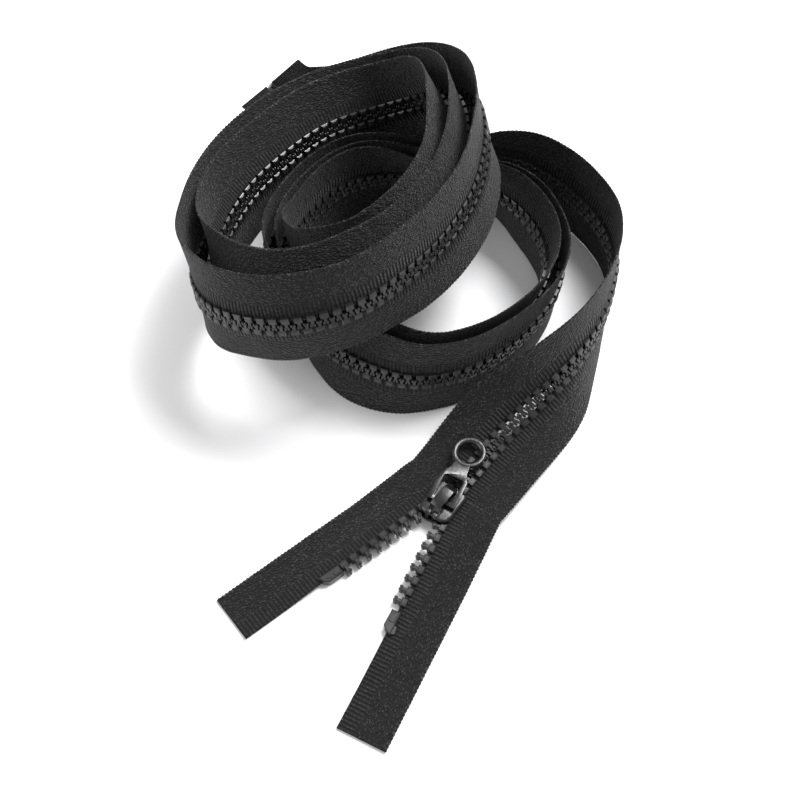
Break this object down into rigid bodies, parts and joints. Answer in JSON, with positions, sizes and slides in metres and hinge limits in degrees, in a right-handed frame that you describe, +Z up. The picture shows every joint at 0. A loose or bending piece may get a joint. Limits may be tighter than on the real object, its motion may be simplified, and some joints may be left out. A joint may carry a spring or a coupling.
{
  "type": "zipper",
  "caption": "Moulded-tooth zipper with a locking slider and a ringed pull, its closed chain coiled up on edge and its two free tails open in a V.",
  "frame": {"origin": "on the surface below, under the middle of the bounding box", "axes": "+Z up; +Y away from the open tails, towards the coil's back; +X to the right"},
  "size_m": [0.1322, 0.217, 0.064],
  "materials": {
    "tape": "matte",
    "teeth": "satin",
    "lacquer": "satin",
    "steel": "satin"
  },
  "bodies": {
    "coil": {"left_tape_1": "tape", "left_tape_2": "tape", "left_tape_3": "tape", "left_tape_4": "tape", "left_tape_5": "tape", "left_tape_6": "tape", "right_tape_1": "tape", "right_tape_2": "tape", "right_tape_3": "tape", "right_tape_4": "tape", "right_tape_5": "tape", "right_tape_6": "tape", "left_teeth": "teeth", "right_teeth": "teeth", "bottom_stop": "teeth"},
    "left_tail": {"left_tail_tape": "tape", "left_tail_teeth": "teeth", "left_top_stop": "teeth"},
    "right_tail": {"right_tail_tape": "tape", "right_tail_teeth": "teeth", "right_top_stop": "teeth"},
    "slider": {"slider_body": "lacquer", "slider_cap": "lacquer", "lock_spring": "steel"},
    "lock": {"lock_pin": "steel"},
    "pull": {"pull_tab": "lacquer"}
  },
  "joints": [
    {"name": "slider_travel", "type": "slide", "parent": "coil", "child": "slider", "axis": [-0.6307, -0.776, 0], "range_m": [0, 0.027], "deforming": ["left_tail_tape", "right_tail_tape", "left_tail_teeth", "right_tail_teeth"]},
    {"name": "left_tail_close", "type": "hinge", "parent": "coil", "child": "left_tail", "pos_m": [0.01356, -0.03517, 0.00283], "axis": [0, 0, 1], "range_deg": [0, 12.5], "deforming": ["left_tail_tape", "right_tail_tape", "left_tail_teeth", "right_tail_teeth"]},
    {"name": "right_tail_close", "type": "hinge", "parent": "coil", "child": "right_tail", "pos_m": [0.01356, -0.03517, 0.00283], "axis": [0, 0, -1], "range_deg": [0, 12.5], "deforming": ["left_tail_tape", "right_tail_tape", "left_tail_teeth", "right_tail_teeth"]},
    {"name": "pull_pivot", "type": "hinge", "parent": "slider", "child": "pull", "pos_m": [0.01002, -0.03952, 0.00658], "axis": [0.8821, -0.471, 0], "range_deg": [0, 170]},
    {"name": "lock_pin_lift", "type": "slide", "parent": "slider", "child": "lock", "axis": [0, 0, 1], "range_m": [0, 0.0008], "stiffness_N_per_m": 200}
  ],
  "couplings": [
    {"joint": "left_tail_close", "follows": "slider_travel", "rad_per_m": 8.08},
    {"joint": "right_tail_close", "follows": "slider_travel", "rad_per_m": 8.08}
  ]
}
